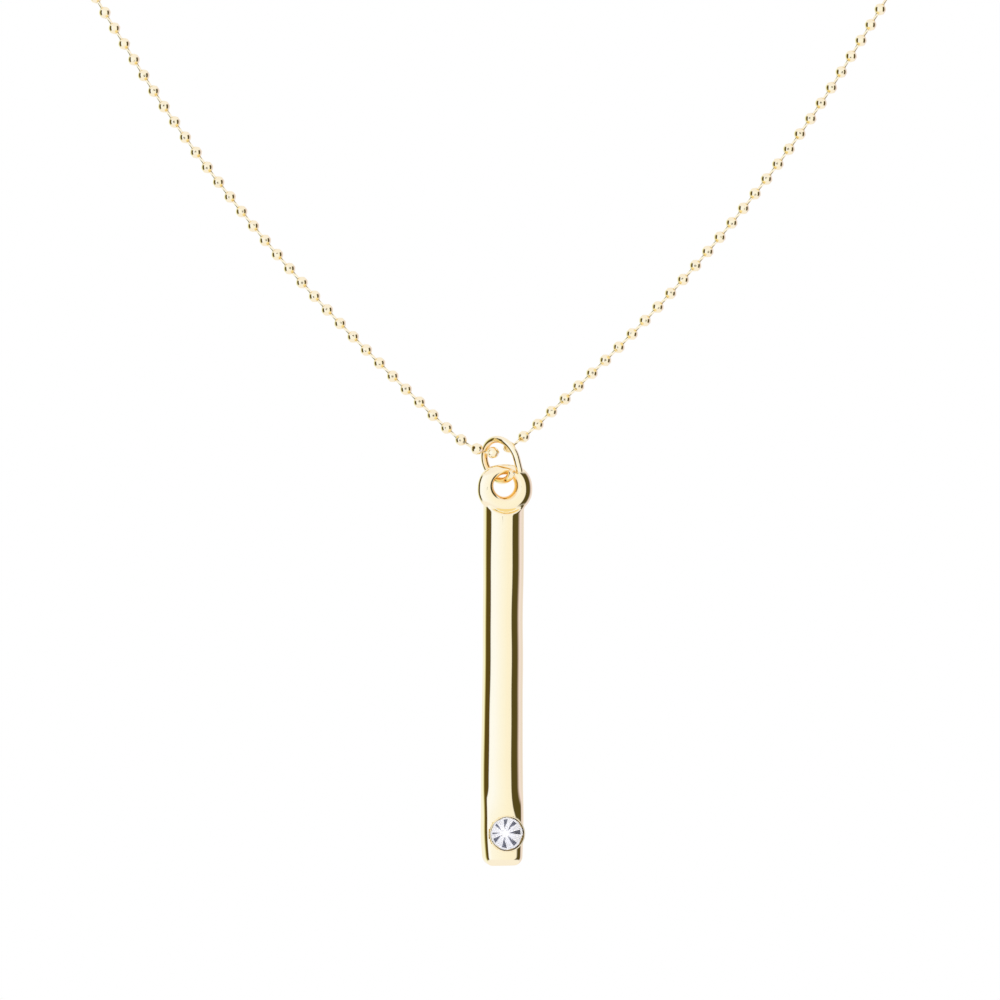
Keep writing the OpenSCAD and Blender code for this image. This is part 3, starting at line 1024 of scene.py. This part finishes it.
# Light of the tent's parts; it is cooler than the gold looks
LIGHT_MOST = 2.2
LEFT_SHADE = (0.103, 0.078, 0.021)
RIGHT_SHADE = (0.094, 0.08, 0.029)
LEFT_FRONT = (1.03, 1.19, 2.0)
TENT_STOPS = (
    # Degrees from the viewer's side, to the left below zero, and the light from there
    (-180, (0.98, 1.05, 1.5)),
    (-128, (0.985, 1.16, 1.6)),
    (-112, (0.745, 0.83, 0.83)),
    (-103, (0.56, 0.56, 0.32)),
    (-97, (0.21, 0.174, 0.034)),
    (-92, LEFT_SHADE),
    (-60, LEFT_SHADE),
    (-57, LEFT_FRONT),
    (-35, LEFT_FRONT),
    (0, (1.02, 1.14, 1.7)),
    (30, (1.02, 1.1, 1.5)),
    (52, (1.0, 1.07, 1.45)),
    (55, RIGHT_SHADE),
    (88, RIGHT_SHADE),
    (95, (0.45, 0.4, 0.55)),
    (104, (0.92, 0.9, 1.5)),
    (125, (0.84, 0.865, 1.34)),
    (150, (0.92, 0.95, 1.45)),
    (180, (0.98, 1.05, 1.5)),
)
ABOVE_AND_BELOW = (0.99, 1.06, 1.57)
COLUMN_TOP = 30.0
COLUMN_END = 42.0


def make_tent():
    """World light: a white tent that is open at both sides"""
    world = bpy.data.worlds.new("white_tent")
    bpy.context.scene.world = world
    world.use_nodes = True
    tree = world.node_tree
    tree.nodes.clear()
    place = tree.nodes.new("ShaderNodeTexCoord")
    split = tree.nodes.new("ShaderNodeSeparateXYZ")
    tree.links.new(place.outputs["Generated"], split.inputs[0])
    away = math_node(tree, "MULTIPLY", split.outputs["Y"], -1.0)
    around = math_node(tree, "ARCTAN2", split.outputs["X"], away)
    turn = math_node(tree, "MULTIPLY", around, 0.5 / math.pi)
    share = math_node(tree, "ADD", turn, 0.5)
    cloth = tree.nodes.new("ShaderNodeValToRGB")
    stops = cloth.color_ramp.elements
    while len(stops) < len(TENT_STOPS):
        stops.new(0.5)
    for stop, (degrees, light) in zip(stops, TENT_STOPS):
        stop.position = degrees / 360 + 0.5
        stop.color = (*[channel / LIGHT_MOST for channel in light], 1)
    tree.links.new(share, cloth.inputs["Fac"])
    height = tree.nodes.new("ShaderNodeMapRange")
    height.interpolation_type = "SMOOTHSTEP"
    height.inputs["From Min"].default_value = math.sin(math.radians(COLUMN_TOP))
    height.inputs["From Max"].default_value = math.sin(math.radians(COLUMN_END))
    steep = math_node(tree, "ABSOLUTE", split.outputs["Z"])
    tree.links.new(steep, height.inputs["Value"])
    roof = tree.nodes.new("ShaderNodeMix")
    roof.data_type = "RGBA"
    tree.links.new(height.outputs["Result"], roof.inputs["Factor"])
    tree.links.new(cloth.outputs["Color"], roof.inputs[6])
    roof.inputs[7].default_value = (*[channel / LIGHT_MOST for channel in ABOVE_AND_BELOW], 1)
    light = tree.nodes.new("ShaderNodeBackground")
    light.inputs["Strength"].default_value = LIGHT_MOST
    tree.links.new(roof.outputs[2], light.inputs["Color"])
    plain = tree.nodes.new("ShaderNodeBackground")
    plain.inputs["Color"].default_value = (1, 1, 1, 1)
    path = tree.nodes.new("ShaderNodeLightPath")
    pick = tree.nodes.new("ShaderNodeMixShader")
    tree.links.new(path.outputs["Is Camera Ray"], pick.inputs["Fac"])
    tree.links.new(light.outputs[0], pick.inputs[1])
    tree.links.new(plain.outputs[0], pick.inputs[2])
    out = tree.nodes.new("ShaderNodeOutputWorld")
    tree.links.new(pick.outputs[0], out.inputs["Surface"])


LENS_R = 15.0
LENS_SIDES = 48
LENS_BEHIND = 10.0
FLOOR_R = 3000.0
FLOOR_SIDES = 64
FLOOR_HEIGHT = -900.0


def round_sheet(name, radius, sides, upright):
    """A many-sided disc about its own origin, given in millimetres"""
    points = []
    for k in range(sides):
        a = 2 * math.pi * k / sides
        side = radius * MM * math.cos(a)
        other = radius * MM * math.sin(a)
        points.append((side, 0, other) if upright else (side, other, 0))
    mesh = bpy.data.meshes.new(name)
    mesh.from_pydata(points, [], [list(range(sides))])
    return mesh, bpy.data.objects.new(name, mesh)


def make_lens():
    """Dark front of the lens, which only reflections see"""
    mesh, lens = round_sheet("lens_front", LENS_R, LENS_SIDES, True)
    lens.location = Vector(VIEWER - (0, LENS_BEHIND, 0)) * MM
    lens.visible_camera = False
    lens.visible_shadow = False
    lens.visible_diffuse = False
    material, _, shader = new_material("dark_lens")
    shader.inputs["Base Color"].default_value = (0.15, 0.12, 0.11, 1)
    shader.inputs["Roughness"].default_value = 0.9
    shader.inputs["Specular IOR Level"].default_value = 0.0
    mesh.materials.append(material)
    bpy.context.scene.collection.objects.link(lens)


def make_floor():
    """Pale floor well below the pendant"""
    mesh, floor = round_sheet("floor", FLOOR_R, FLOOR_SIDES, False)
    floor.location = (0, 0, FLOOR_HEIGHT * MM)
    floor.visible_glossy = False
    material, _, shader = new_material("pale_floor")
    shader.inputs["Base Color"].default_value = (0.86, 0.84, 0.68, 1)
    shader.inputs["Roughness"].default_value = 0.6
    shader.inputs["Emission Color"].default_value = (1.0, 1.02, 1.3, 1)
    shader.inputs["Emission Strength"].default_value = 0.35
    mesh.materials.append(material)
    bpy.context.scene.collection.objects.link(floor)


make_bar()
make_stone()
make_ring()
make_strand("ball_chain_left", left_beads, right_beads[0], ["chain_left", "chain_wire"])
make_strand("ball_chain_right", right_beads, left_beads[0], ["chain_right"])
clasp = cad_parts["clasp"]
clasp.data.materials.clear()
clasp.data.materials.append(chain_gold)

make_camera()
make_tent()
make_lens()
make_floor()
bpy.context.scene.view_settings.view_transform = "Standard"
